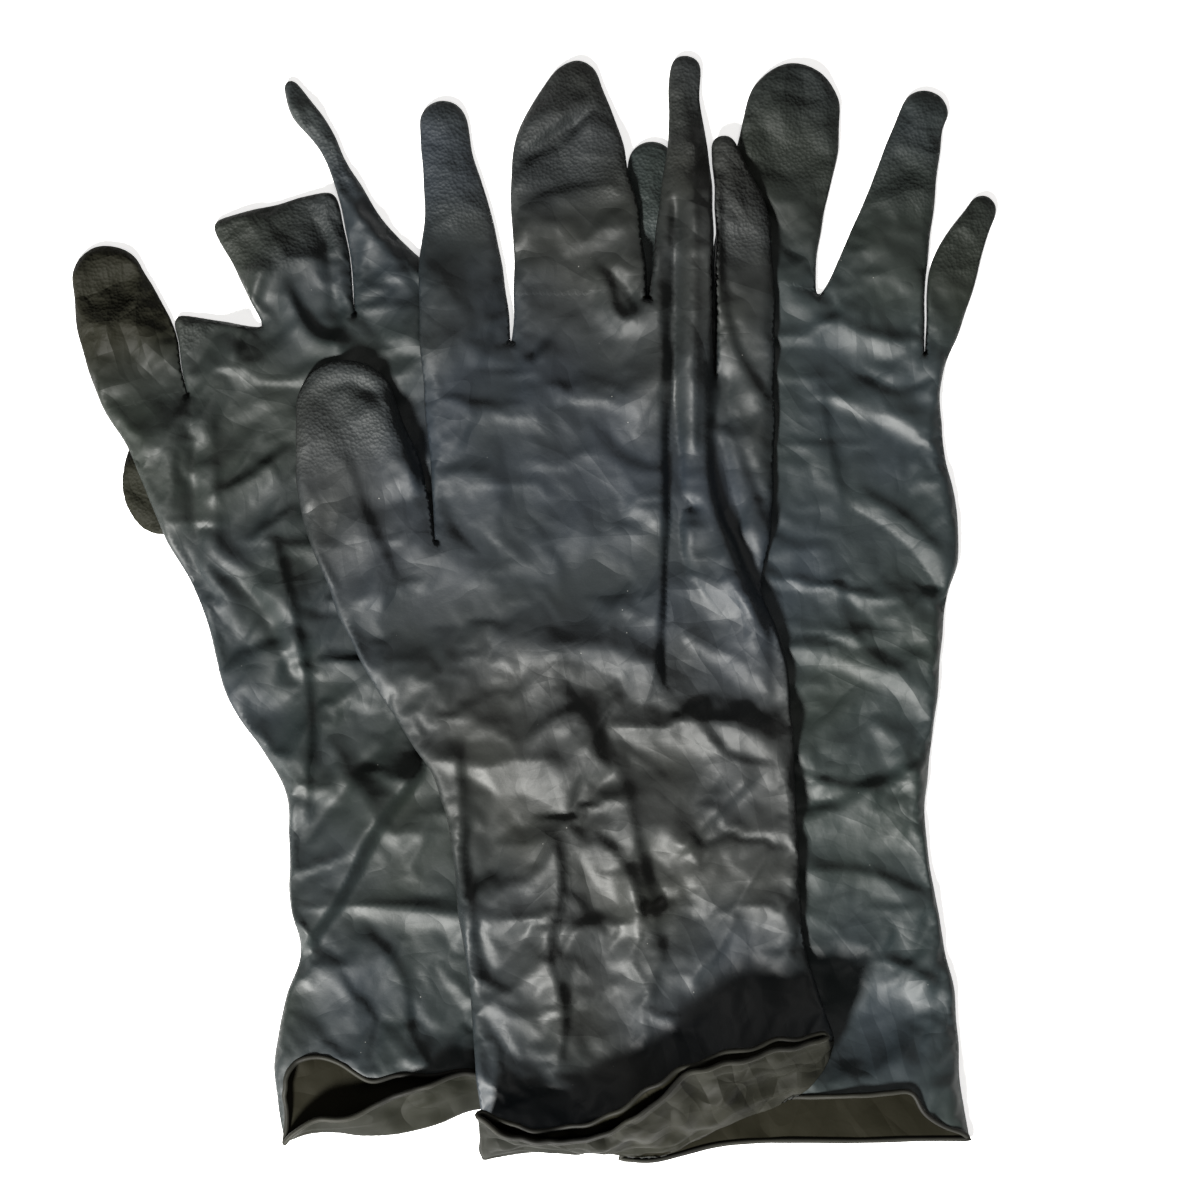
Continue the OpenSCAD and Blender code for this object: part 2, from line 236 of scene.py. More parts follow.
def lattice(loop, step):
    """A row of points just inside a loop, then points on a triangular lattice."""
    ahead = np.roll(loop, -1, 0) - np.roll(loop, 1, 0)
    ahead /= np.linalg.norm(ahead, axis=1)[:, None]
    border = loop + EDGE_ROW * np.column_stack([-ahead[:, 1], ahead[:, 0]])
    border = border[inside(border, loop)]
    border = border[edge_distance(border, loop) > 0.85 * EDGE_ROW]
    low, high = loop.min(0), loop.max(0)
    row_gap = step * math.sqrt(3) / 2
    rows = np.arange(low[1], high[1], row_gap)
    points = []
    for k, y in enumerate(rows):
        x = np.arange(low[0] + (k % 2) * step / 2, high[0], step)
        points.append(np.stack([x, np.full(len(x), y)], 1))
    points = np.vstack(points)
    points = points[inside(points, loop)]
    return np.vstack([border, points[edge_distance(points, loop) > EDGE_ROW + 0.5 * step]])


def triangulate(loop, inner):
    """Triangles of the region inside loop, as indices of loop's points and then inner's."""
    points = np.vstack([loop, inner])
    made = geometry.delaunay_2d_cdt(
        [Vector(p) for p in points], [], [list(range(len(loop)))], 1, 1e-6
    )
    first = [origin[0] if origin else -1 for origin in made[3]]
    faces = [[first[i] for i in face] for face in made[2]]
    return np.array([f for f in faces if min(f) >= 0 and len(set(f)) == 3])


# ---------------------------------------------------------------- shape of the film


def smooth(x):
    """Smooth step from 0 at x = 0 to 1 at x = 1."""
    x = np.clip(x, 0, 1)
    return x * x * (3 - 2 * x)


def rough(points, size, seed):
    """Smooth gradient noise between -1 and 1 whose features are about size wide."""
    angles = np.random.default_rng(round(seed * 2) + 100).uniform(0, 2 * math.pi, (NOISE, NOISE))
    place = points[:, :2] / size + NOISE
    cell = np.floor(place).astype(int)
    f = place - cell
    blend = f * f * f * (f * (f * 6 - 15) + 10)
    total = np.zeros(len(points))
    for i, j in ((0, 0), (1, 0), (0, 1), (1, 1)):
        angle = angles[(cell[:, 0] + i) % NOISE, (cell[:, 1] + j) % NOISE]
        slope = np.cos(angle) * (f[:, 0] - i) + np.sin(angle) * (f[:, 1] - j)
        across = blend[:, 0] if i else 1 - blend[:, 0]
        along = blend[:, 1] if j else 1 - blend[:, 1]
        total += slope * across * along
    return 1.35 * total  # plain gradient noise reaches about 0.75


def facets(points, size, seed):
    """Crumpled surface about 1 high, made of nearly flat facets that meet in short creases."""
    bent = points[:, :2] + 0.45 * size * np.column_stack(
        [rough(points, 1.6 * size, seed), rough(points, 1.6 * size, seed + 0.5)])
    total = np.zeros(len(points))
    for k in range(FACET_WAVES):
        angle = math.pi * (k + 0.35) / FACET_WAVES + 0.2 * seed
        along = bent @ [math.cos(angle), math.sin(angle)]
        wave = np.abs((along / (size * (1.4 + 0.35 * k)) + 0.37 * k + seed) % 1 - 0.5) * 4 - 1
        total += wave * smooth(rough(points, 2.2 * size, seed + 2 * k + 1) * 2.2 + 0.35)
    return total / 2


def folds(points, lines):
    """Height of the folds: each is (line, height, width), a ridge or, if negative, a groove.

    A ridge is a pleat: it slopes gently towards the light and steeply away from it.
    """
    z = np.zeros(len(points))
    for line, height, width in lines:
        line = spline(line, 2.0)
        gentle = width if height < 0 else 2 * width
        reach = 3 * gentle
        near = ((points > line.min(0) - reach) & (points < line.max(0) + reach)).all(1)
        d, place = nearest(points[near], line)
        ends = np.minimum(np.linalg.norm(place - line[0], axis=1),
                          np.linalg.norm(place - line[-1], axis=1))
        fade = smooth(ends / 8 + 0.15)
        chord = line[-1] - line[0]
        lit = np.array([chord[1], -chord[0]])
        lit *= np.sign(lit @ TO_LIGHT)
        is_lit = (points[near] - place) @ lit > 0
        across = np.where(is_lit | (height < 0), gentle, STEEP)
        z[near] += height * fade * np.exp(-(d / across) ** 2)
    return z


def make_mesh(name, co, faces, scale=MM):
    """Object with a mesh of coordinates in millimetres, which scale turns into Blender's units."""
    mesh = bpy.data.meshes.new(name)
    faces = faces.tolist() if isinstance(faces, np.ndarray) else faces
    mesh.from_pydata((np.asarray(co) * scale).tolist(), [], faces)
    mesh.update()
    obj = bpy.data.objects.new(name, mesh)
    bpy.context.scene.collection.objects.link(obj)
    return obj


def read(things, name, width):
    """One attribute of a mesh's vertices, corners or attribute data as an array."""
    values = np.empty(len(things) * width, np.float32 if width > 1 else np.int32)
    things.foreach_get(name, values)
    return values.reshape(-1, width).astype(float) if width > 1 else values


def drop(*objects):
    for obj in objects:
        bpy.data.objects.remove(obj)


SIM = 0.02  # simulation units per millimetre
SIM_FRAMES = 30
MOST_EXTRA = 0.09  # film is at most this much longer than the room it has


def settle(co, faces, pinned, extra, below):
    """Cloth simulation of a film layer that has too much length for its room, over the mesh below."""
    film = make_mesh("film", co, faces, SIM)
    pins = film.vertex_groups.new(name="pins")
    pins.add(np.flatnonzero(pinned).tolist(), 1.0, "REPLACE")
    short = film.vertex_groups.new(name="short")
    for k, share in enumerate(np.clip(extra / MOST_EXTRA, 0, 1)):
        short.add([k], float(1 - share), "REPLACE")
    cloth = film.modifiers.new("Cloth", "CLOTH")
    s = cloth.settings
    s.quality = 5
    s.mass = 0.05
    s.air_damping = 2
    s.tension_stiffness = s.compression_stiffness = 30
    s.shear_stiffness = 18
    s.bending_model = "ANGULAR"
    s.bending_stiffness = 0.05
    s.tension_damping = s.compression_damping = s.shear_damping = 10
    s.bending_damping = 0.5
    s.effector_weights.gravity = 0.4
    s.vertex_group_mass = "pins"
    s.shrink_min = -MOST_EXTRA
    s.shrink_max = 0.0
    s.vertex_group_shrink = "short"
    cloth.collision_settings.distance_min = 0.3 * SIM
    cloth.collision_settings.collision_quality = 2
    cloth.point_cache.frame_end = SIM_FRAMES
    ground = make_mesh("ground", *below, SIM)
    ground.modifiers.new("Collision", "COLLISION")
    ground.collision.thickness_outer = 0.2 * SIM
    for frame_number in range(1, SIM_FRAMES + 1):
        bpy.context.scene.frame_set(frame_number)
    shape = film.evaluated_get(bpy.context.evaluated_depsgraph_get()).data
    out = read(shape.vertices, "co", 3) / SIM
    bpy.context.scene.frame_set(1)
    drop(film, ground)
    return out


# ---------------------------------------------------------------- what lies under a glove

CELL = 1.5  # grid of the height map
ABOVE = 100.0  # a height well above the pile
REACH = 60  # smoothing rounds, which set how far film spans a gap
MAP_LOW = np.array([-130.0, -160.0])
MAP_SIZE = (175, 210)


def height_map(meshes):
    """Grid of heights that a film laid over the meshes takes, spanning the gaps between them."""
    trees = [BVHTree.FromPolygons(co.tolist(), faces.tolist()) for co, faces in meshes]
    top = np.zeros(MAP_SIZE)
    for i, j in np.ndindex(*MAP_SIZE):
        start = Vector((MAP_LOW[0] + i * CELL, MAP_LOW[1] + j * CELL, ABOVE))
        for tree in trees:
            hit = tree.ray_cast(start, Vector((0, 0, -1)))[0]
            if hit:
                top[i, j] = max(top[i, j], hit.z + FILM)
    for axis in (0, 1):
        top = np.maximum(top, np.maximum(np.roll(top, 1, axis), np.roll(top, -1, axis)))
    draped = top.copy()
    for _ in range(REACH):
        for axis in (0, 1):
            sides = np.roll(draped, 1, axis) + np.roll(draped, -1, axis)
            draped = 0.5 * draped + 0.25 * sides
        draped = np.maximum(draped, top)
    return draped


def height_at(grid, points):
    """Bilinear height of the map under each point."""
    if grid is None:
        return np.zeros(len(points))
    place = np.clip((points[:, :2] - MAP_LOW) / CELL, 0, np.array(MAP_SIZE) - 1.001)
    cell = place.astype(int)
    f = place - cell
    i, j = cell.T
    low = grid[i, j] * (1 - f[:, 0]) + grid[i + 1, j] * f[:, 0]
    high = grid[i, j + 1] * (1 - f[:, 0]) + grid[i + 1, j + 1] * f[:, 0]
    return low * (1 - f[:, 1]) + high * f[:, 1]


# ---------------------------------------------------------------- one glove as one bag of film


def resample(line, count):
    """count points evenly along a 3-D line of curve points."""
    fine = spline(line, 0.5)
    s = np.concatenate([[0], np.cumsum(np.linalg.norm(np.diff(fine, axis=0), axis=1))])
    at = np.linspace(0, s[-1], count)
    return np.stack([np.interp(at, s, fine[:, k]) for k in range(fine.shape[1])], 1)


def loft(lines, rows, ruffle, seed):
    """Rows of a film that rises from lines[0] through the others; lines[0] itself is left out."""
    stack = np.array(lines)
    made = []
    for t in np.linspace(0, len(lines) - 1, rows + 1)[1:]:
        k = min(int(t), len(lines) - 2)
        row = stack[k] + (t - k) * (stack[k + 1] - stack[k])
        u = np.linspace(0, 1, len(row))
        wave = rough(np.column_stack([u * len(row) / 4.2, np.full(len(row), 2.1 * t)]), 1, seed)
        free = smooth(np.minimum(u, 1 - u) / 0.08)
        pleat = rough(np.column_stack([u * len(row) / 15, np.full(len(row), 3.2 * t)]), 1, seed + 4)
        row[:, 1] += ruffle * (wave + 1.4 * pleat) * free
        row[:, 2] += 0.5 * ruffle * (np.roll(wave, 3) - 1.4 * pleat) * free
        made.append(row)
    return made


class Bag:
    """Vertices and faces of one closed bag of film as it is put together."""

    def __init__(self, chain, z):
        self.co = np.column_stack([chain, z])
        self.faces = []
        self.outline = len(chain)  # the outline's vertices come first
        self.lip_from = 0  # first face of the turned lips

    def add(self, points):
        first = len(self.co)
        self.co = np.vstack([self.co, points])
        return list(range(first, len(self.co)))

    def layer(self, ring, points, faces, up):
        """A film layer: ring holds the indices of its rim, points are its inner vertices."""
        index = ring + self.add(points)
        for face in faces:
            face = [index[k] for k in face]
            self.faces.append(face if up else face[::-1])

    def strip(self, base, rows, ends, up):
        """Rows of film from the vertices base on; ends are the shared end vertices of the rows."""
        last = base
        for row, (left, right) in zip(rows, ends):
            here = [left] + self.add(row[1:-1]) + [right]
            for a, b, c, d in zip(last, last[1:], here[1:], here):
                self.faces.append([b, a, d, c] if up else [a, b, c, d])
            last = here


def slack(points, amounts, seed):
    """Share by which the film is too long for its room, from the hand's amount to the cuff's."""
    hand, cuff, change_y = amounts
    share = hand + (cuff - hand) * smooth((change_y - points[:, 1]) / 70)
    return share * (0.8 + 0.6 * rough(points, 26, seed + 3))


def mouth_rims(spec, bag, ground):
    """The lines in which a glove's two films end at its mouth, from its left corner to its right."""
    rims = []
    for lines in spec["mouth"]:
        line = np.array(lines[0], float)
        length = np.linalg.norm(np.diff(line[:, :2], axis=0), axis=1).sum()
        line[:, 2] = np.maximum(line[:, 2], height_at(ground, line) + MOUTH_Z)
        line[[0, -1]] = bag.co[[-1, 0]]
        rims.append(resample(line, round(length / STEP) + 1))
    return rims


def layer_height(inner, edge, mouth, spec, ground, up):
    """Height of a film layer's inner vertices before it settles."""
    seed = spec["seed"]
    d = nearest(inner, edge)[0]
    z = height_at(ground, inner)
    if up:
        z += EDGE_Z + PUFF * (1 - np.exp(-d / EDGE_REACH))
        loose = slack(inner, spec["slack"], seed)
        crumple = SWELL_HEIGHT * rough(inner, SWELL, seed)
        crumple += CRUMPLE_RISE * loose * facets(inner, CRUMPLE, seed)
        z += smooth(d / FLAT_EDGE) * crumple
        z = np.maximum(z, height_at(ground, inner) + EDGE_Z)
    else:
        z += UNDER_Z + (EDGE_Z - UNDER_Z) * np.exp(-d / UNDER_REACH)
    if len(mouth):
        gap, place = nearest(inner, mouth)
        z += (place[:, 2] - z) * np.exp(-(gap / MOUTH_REACH) ** 2)
    return z


def drape(start, faces, fixed, spec, ground, below):
    """Settles an upper layer whose first fixed vertices stay, and returns its other vertices."""
    pinned = np.arange(len(start)) < fixed
    extra = slack(start, spec["slack"], spec["seed"])
    upper = settle(start, faces, pinned, extra, below)[fixed:]
    highest = height_at(ground, upper) + spec["highest"]
    over = np.maximum(upper[:, 2] - highest, 0)
    upper[:, 2] -= (1 - HIGH_SHARE) * over
    return upper


def build_bag(spec, ground):
    """One glove: two film layers that share the outline, and the lips of its mouth, settled."""
    closed = "mouth" not in spec
    chain = spline(spec["outline"], STEP, closed)
    seed = spec["seed"]
    shake = np.column_stack([rough(chain, 11, seed + 1), rough(chain, 11, seed + 2)])
    chain += WAVER * shake * smooth(np.minimum(np.arange(len(chain)), 8) / 8)[:, None]
    edge = np.vstack([chain, chain[:1]]) if closed else chain
    bag = Bag(chain, height_at(ground, chain) + EDGE_Z)
    side = list(range(bag.outline))
    mouths = [np.zeros((0, 3))] * 2 if closed else mouth_rims(spec, bag, ground)
    layers = []
    rings = []
    rims = []
    for up, mouth in ((False, mouths[0]), (True, mouths[1])):
        loop = np.vstack([chain, mouth[1:-1, :2]])
        inner = lattice(loop, STEP if up else UNDER_STEP)
        z = layer_height(inner, edge, mouth, spec, ground, up)
        layers.append((np.column_stack([inner, z]), triangulate(loop, inner)))
        new = bag.add(mouth[1:-1]) if len(mouth) else []
        rings.append(side + new)
        rims.append([side[-1]] + new + [side[0]])
    (lower, lower_faces), (upper, upper_faces) = layers
    start = np.vstack([bag.co[rings[1]], upper])
    below = (np.vstack([bag.co[rings[0]], lower]), lower_faces)
    upper = drape(start, upper_faces, len(rings[1]), spec, ground, below)
    bag.layer(rings[0], lower, lower_faces, up=False)
    bag.layer(rings[1], upper, upper_faces, up=True)
    bag.lip_from = len(bag.faces)
    if not closed and max(len(lines) for lines in spec["mouth"]) > 1:
        add_lips(bag, spec, rims)
    return finish_bag(bag, spec, ground)


def add_lips(bag, spec, rims):
    """Films that rise from the mouth's rim; the rows of both films meet at the two corners."""
    rows = spec["lip_rows"]
    ends = None
    for k, (lines, rim) in enumerate(zip(spec["mouth"], rims)):
        if len(lines) < 2:
            continue
        levels = [bag.co[rim]] + [resample(np.array(line, float), len(rim)) for line in lines[1:]]
        made = loft(levels, rows, spec["ruffle"], spec["seed"] + k)
        if ends is None:
            corner = [row[[0, -1]] for row in made]
            ends = [tuple(bag.add(pair)) for pair in corner]
        bag.strip(rim, made, ends, up=k == 1)


def sharpen_outline(mesh, count):
    """Keeps the folded edge, through a bag's first count vertices, sharp when it is subdivided."""
    ends = np.empty(2 * len(mesh.edges), np.int32)
    mesh.edges.foreach_get("vertices", ends)
    low, high = np.sort(ends.reshape(-1, 2), axis=1).T
    folded = (high < count) & ((high - low == 1) | (high - low == count - 1))
    crease = mesh.attributes.new("crease_edge", "FLOAT", "EDGE")
    crease.data.foreach_set("value", (EDGE_CREASE * folded).astype(np.float32))


def finish_bag(bag, spec, ground):
    """Subdivides the bag once and adds its folds and small creases."""
    seed = spec["seed"]
    obj = make_mesh("bag", bag.co, bag.faces)
    lip = obj.data.attributes.new("lip", "INT", "FACE")
    lip.data.foreach_set("value", (np.arange(len(bag.faces)) >= bag.lip_from).astype(int))
    sharpen_outline(obj.data, bag.outline)
    obj.modifiers.new("Subdivision", "SUBSURF").levels = 1
    shape = obj.evaluated_get(bpy.context.evaluated_depsgraph_get()).data
    co = read(shape.vertices, "co", 3) / MM
    normals = read(shape.vertices, "normal", 3)
    faces = read(shape.loops, "vertex_index", 1).reshape(-1, 4)
    is_lip = read(shape.attributes["lip"].data, "value", 1) > 0
    drop(obj)
    creased = smooth(rough(co, CREASE_PATCH, seed + 9) * 1.6 + 0.55)
    creased *= np.clip(slack(co, spec["slack"], seed) / MOST_CREASED, 0.1, 1.2)
    height = CREASE_HEIGHT * facets(co, CREASE, seed + 5)
    height += SMALL_CREASE_HEIGHT * facets(co, SMALL_CREASE, seed + 6)
    up = np.clip(normals[:, 2], 0, 1)
    on_lip = np.zeros(len(co))
    on_lip[faces[is_lip].ravel()] = 1
    free = np.maximum(up, LIP_CREASES * on_lip * smooth((co[:, 2] - 1) / 5))
    shift = normals * (height * creased * free)[:, None]
    shift[:, 2] += folds(co[:, :2], spec["folds"]) * smooth(up * 2 - 0.6) * (1 - on_lip)
    made = co + shift
    lowest = height_at(ground, made) + UNDER_Z + 2 * FILM
    sunk = (up > 0.3) & (made[:, 2] < lowest)
    made[sunk, 2] = np.minimum(lowest, np.maximum(co[:, 2], made[:, 2]))[sunk]
    return made, faces, is_lip


# ---------------------------------------------------------------- the gloves' mouths and folds

TOP_EDGE = [
    (-15.2, -135.2, 16), (-6.1, -139.8, 17.5), (9.1, -141.6, 19), (21.9, -136.7, 22),
    (32.5, -129.9, 24), (40.8, -123.9, 24), (52, -121, 22.5), (64.3, -118.2, 20.5),
    (73.4, -116.3, 18.5), (79.6, -114.4, 17),
]
TOP_CREASE = [
    (-14.2, -143, 8), (-0.1, -143.5, 9), (20.4, -145.6, 10), (26, -144.8, 11),
    (40.8, -137.4, 13), (50.7, -131.4, 13.5), (58.2, -126.9, 13.5), (69.6, -123.9, 13),
    (80.6, -117.6, 12),
]
TOP_FOLD = [
    (-13.6, -149.2, 1), (-0.1, -147.3, 1.2), (17.4, -147.3, 1.5), (28, -148.8, 3),
    (35.5, -148.1, 4.5), (46.9, -141.2, 6), (58.2, -136.7, 7), (71.8, -131.4, 7.5),
    (76.5, -126.5, 8), (80, -120.5, 8), (81.5, -116, 8),
]
TOP_BASE = [
    (-13.6, -149.2, 1), (-8, -142, 6), (4, -140.5, 8), (20, -139.5, 9), (34, -138, 10),
    (46, -131.5, 10.5), (58, -127, 11), (70, -122.5, 11), (78, -119, 10), (81.5, -116, 8),
]


def moved(line, dx, dy, dz):
    return [(x + dx, y + dy, z + dz) for x, y, z in line]


RIGHT_UNDER = [
    (23.6, -148.6, 0.9), (32, -149.2, 0.8), (50, -144.9, 0.8), (64, -143.8, 0.8),
    (88.5, -143.8, 0.9), (105, -143.3, 1), (118, -143.3, 0.9),
]
RIGHT_OVER = [
    (23.6, -148.6, 0.9), (27, -142, 2.5), (34, -136, 3.2), (50, -132.5, 3.6),
    (62, -131.6, 4.2), (71.6, -131.4, 6.5), (80, -131, 8), (88.5, -130.7, 8.8),
    (96, -130, 9), (101.9, -129.8, 8.8), (105.4, -135.5, 7), (111.7, -139.8, 4.5),
    (116.4, -141.6, 2), (118, -143.3, 0.9),
]
LEFT_UNDER = [
    (-67, -144.2, 1), (-60.1, -142, 0.6), (-52, -142, 0.6), (-45.3, -142.8, 0.6),
    (-35.8, -142.3, 0.6), (-25, -139.6, 0.6), (-16, -136, 0.6), (0, -136, 0.6),
    (17.5, -139, 0.9),
]
LEFT_LIP = [
    (-66.7, -144, 3.5), (-65, -141.8, 5), (-60.7, -138.7, 6.5), (-52, -137.7, 7.5),
    (-46.1, -136.1, 8), (-39.6, -132.6, 8.5), (-30.4, -128.2, 9), (-23.9, -125.8, 9),
    (-18.2, -124.8, 8), (-9, -127, 5), (0, -131, 3.5), (12, -136.5, 2.6), (17.5, -139, 2),
]
LEFT_OVER = [
    (-67, -144.2, 1), (-66.2, -137, 2), (-66.6, -129, 3), (-64.5, -122.8, 4),
    (-58.5, -120.7, 4.5), (-52, -122.3, 5), (-47.2, -125.5, 5), (-43.4, -127.4, 5),
    (-36.1, -125.7, 5), (-26.1, -125.7, 5), (-18.2, -124.5, 4.5), (0, -128, 3.6),
    (12, -135, 2.5), (17.5, -139, 0.9),
]

# Each fold is (line, height of the ridge or, below 0, depth of the groove, width).
TOP_FOLDS = [
    ([(39, 113), (38.3, 60), (38.5, 10), (37, -22)], -3.2, 2.0),
    ([(33, 100), (34, 60), (34, 10), (32, -20)], 2.2, 3.6),
    ([(43, 130), (43, 80), (43, 40)], 2.4, 2.8),
    ([(49.3, 118), (47.5, 80), (45.8, 56), (47.4, 31), (56, 8), (63.4, -11)], 3.0, 3.2),
    ([(52.5, 66), (51, 44), (54, 24), (62, 2)], -1.8, 2.6),
    ([(48, 102), (53, 72), (63, 54)], 1.8, 2.4),
    ([(50, 52), (58, 32), (64, 17)], 1.6, 2.4),
    ([(38, 31), (42, 28), (46.9, 27)], -2.6, 1.8),
    ([(38, 22), (48, 21)], 1.8, 2.2),
    ([(-5, 68.5), (1, 66), (4.5, 73)], 2.0, 1.8),
    ([(15.5, 93), (19.5, 88), (21.8, 80.5), (25, 77.5), (31, 82)], 2.4, 1.7),
    ([(22, 91), (26.5, 85), (29, 79)], -2.0, 1.6),
    ([(-4.5, 120.5), (7.5, 127.5), (18, 136.5)], -1.9, 1.6),
    ([(-3, 125), (7, 132), (14, 140)], 1.6, 2.6),
    ([(-4, 108), (10, 112), (26, 114)], 1.2, 2.4),
    ([(-21, -35), (-19, -71), (-14, -104)], 2.0, 3.0),
    ([(4.7, -60), (6.8, -74), (3.6, -92), (7.6, -108), (6, -125)], 2.4, 2.2),
    ([(6, -99), (13, -86.5), (24, -84)], 1.6, 1.6),
    ([(24, -46), (30, -75), (35, -98)], 1.6, 2.6),
    ([(41, -58), (44.5, -66), (42, -76)], 1.6, 2.0),
    ([(35.6, -69), (48, -56), (61, -43)], 2.2, 2.2),
    ([(-2.4, -36), (12.8, -28), (18, -41), (28, -45)], 1.6, 1.8),
    ([(20, -36), (30, -42), (39, -50)], 0.9, 2.4),
    ([(16, -60.7), (25, -70.7), (29, -82.6), (34, -82.6), (43, -77.6)], 1.9, 1.6),
    ([(40, -24), (52, -40), (68, -44)], 1.6, 2.4),
    ([(-26, 34), (-20, 22), (-8, 14)], -1.2, 2.6),
    ([(-58, 58), (-50, 61), (-42, 57), (-36, 49), (-31, 38)], -0.9, 2.0),
    ([(-42, 60), (-36, 46), (-31, 30)], 3.4, 6.5),
    ([(-52, 44), (-46, 26), (-36, 4)], 1.3, 3.4),
]
RIGHT_FOLDS = [
    ([(58.8, 112), (66, 102), (73.9, 94)], -1.6, 2.2),
    ([(84, 26), (98, 16), (112, 2)], -1.6, 2.4),
    ([(86, 32), (100, 24), (112, 12)], 1.2, 2.0),
    ([(72, -46), (90, -49), (107, -42)], 1.4, 2.2),
    ([(72, -71), (90, -72), (110, -80)], 1.2, 2.2),
    ([(78, -100), (96, -96), (112, -104)], 1.4, 3.0),
    ([(105.2, 92), (105, 70)], 1.6, 2.2),
    ([(74, 79), (84, 76), (96, 72), (106, 66)], 1.1, 1.6),
    ([(76, 66), (80, 40), (84, 24)], 0.9, 2.4),
    ([(96, 74), (106, 70), (110, 54)], 1.0, 1.6),
    ([(84, 66), (98, 60), (110, 64)], -1.3, 2.2),
    ([(80, 10), (88, -10), (104, -20)], 1.0, 2.2),
]
LEFT_FOLDS = [
    ([(-67, 141), (-58, 120), (-46, 104), (-31, 86)], 1.6, 1.8),
    ([(-71.5, 95), (-76.5, 83), (-82.5, 63)], 2.2, 2.0),
    ([(-68.6, 89), (-58.7, 73), (-47, 71)], 2.2, 2.0),
    ([(-58, 106), (-54, 90), (-52, 74)], -1.5, 2.2),
    ([(-92.5, 56), (-91.4, 37.6), (-90.4, 10)], -1.2, 2.4),
    ([(-87.5, 54), (-86.4, 37), (-85.4, 12)], 1.1, 2.8),
    ([(-88, 29), (-76, 35), (-64, 44)], 2.0, 1.9),
    ([(-77, 17), (-70, 22), (-62, 28)], 2.0, 1.8),
    ([(-88, 13), (-74, 2), (-62, -24)], -1.4, 2.6),
    ([(-71, 20), (-65, -2), (-61, -30), (-62, -60)], 2.0, 2.6),
    ([(-30, -42), (-44, -60), (-52, -76), (-63, -92)], 6.0, 4.4),
    ([(-38, -34), (-52, -50), (-64, -66)], -1.2, 2.6),
    ([(-48, -84), (-36, -100), (-34, -120)], 1.6, 2.6),
    ([(-56, 30), (-44, 12), (-40, -10)], 1.6, 3.0),
]

# The slack is the film's extra length in the hand and in the cuff, and where the change begins.
# Each mouth has the lines of the under film and then those of the upper film, from its rim on.
GLOVES = {
    "left": dict(
        outline=LEFT_HAND, mouth=([LEFT_UNDER, LEFT_LIP], [LEFT_OVER]), folds=LEFT_FOLDS,
        slack=(0.035, 0.042, 60), highest=7.0, lip_rows=7, ruffle=0.9, seed=11,
    ),
    "right": dict(
        outline=RIGHT_HAND, mouth=([RIGHT_UNDER], [RIGHT_OVER]), folds=RIGHT_FOLDS,
        slack=(0.02, 0.034, 60), highest=7.0, lip_rows=0, ruffle=0, seed=23,
    ),
    "top": dict(
        outline=TOP_HAND,
        mouth=([TOP_FOLD, TOP_CREASE, TOP_EDGE],
               [TOP_BASE, moved(TOP_CREASE, 0.4, 3.4, 0.3), moved(TOP_EDGE, 0.3, 2.0, -1.2)]),
        folds=TOP_FOLDS, slack=(0.014, 0.048, 20), highest=7.5, lip_rows=16, ruffle=1.5, seed=37,
    ),
}
RING_TIP = dict(outline=LEFT_TIP, folds=[], slack=(0.0, 0.0, 0), highest=3.0, seed=5)

# How far past its hinge, above the gaps beside it, each finger's piece begins.
CUTS = {
    "top_thumb": 2.4, "top_index_finger": 5.6, "top_middle_finger": 8.6, "top_ring_finger": 3.2,
    "top_little_finger": 2.4, "right_thumb": 6, "right_index_finger": 8,
    "right_middle_finger": 7.5, "right_ring_finger": 5.5, "right_little_finger": 3.5,
    "left_thumb": 4.4, "left_index_finger": 2.4, "left_middle_finger": 5,
    "left_ring_finger": 2.5, "left_little_finger": 4.4,
}
# The left ring finger is folded back askew, so its piece is cut along its own line.
ASKEW = {"left_ring_finger": ((-83.0, 66.5), 43.0)}
BEND = 11.0  # length past a finger's cut, half of which marks the face its piece is grown from
RIM_START = {"left": 116.0, "right": 129.0}  # where a rim begins, as height minus y

JOINTS = {joint["name"]: joint for joint in frame["joints"]}


def hinge(name):
    """Place of a finger's fold in plan and the direction from it to the fingertip."""
    if name in ASKEW:
        place, lean = ASKEW[name]
        lean = math.radians(lean)
    else:
        joint = JOINTS[name + "_fold"]
        place = (joint["pos_m"][0] / MM, joint["pos_m"][1] / MM)
        lean = math.atan2(joint["axis"][1], joint["axis"][0])
    return np.array(place), np.array([-math.sin(lean), math.cos(lean)])


# ---------------------------------------------------------------- pieces


def connected(faces, chosen, first):
    """Which of the chosen faces can be reached from the first one across shared vertices."""
    reached = np.zeros(len(faces), bool)
    reached[first] = True
    count = 0
    while reached.sum() > count:
        count = reached.sum()
        touched = np.zeros(faces.max() + 1, bool)
        touched[faces[reached].ravel()] = True
        reached = chosen & touched[faces].any(1)
    return reached


def zones(glove, co, faces, is_lip):
    """Name of the CAD node that each face stands for."""
    centre = co[faces].mean(1)
    zone = np.full(len(faces), glove + "_palm", dtype=object)
    wrist = JOINTS[glove + "_wrist_fold"]["pos_m"][1] / MM
    zone[centre[:, 1] < wrist] = glove + "_gauntlet"
    if glove in RIM_START:
        zone[centre[:, 2] - centre[:, 1] > RIM_START[glove]] = glove + "_rim"
    else:
        zone[is_lip] = glove + "_rim"
    for name, cut in CUTS.items():
        if not name.startswith(glove):
            continue
        place, forward = hinge(name)
        offset = centre[:, :2] - place
        chosen = (offset @ forward > cut) & (zone == glove + "_palm")
        away = np.linalg.norm(offset - forward * (cut + BEND / 2), axis=1)
        first = int(np.argmin(np.where(chosen, away, np.inf)))
        zone[connected(faces, chosen, first)] = name
    return zone


def mesh_normals(co, faces):
    """Vertex normals of the whole bag, so that neighbouring pieces are lit as one film."""
    obj = make_mesh("normals", co, faces)
    normals = read(obj.data.vertices, "normal", 3)
    drop(obj)
    return normals


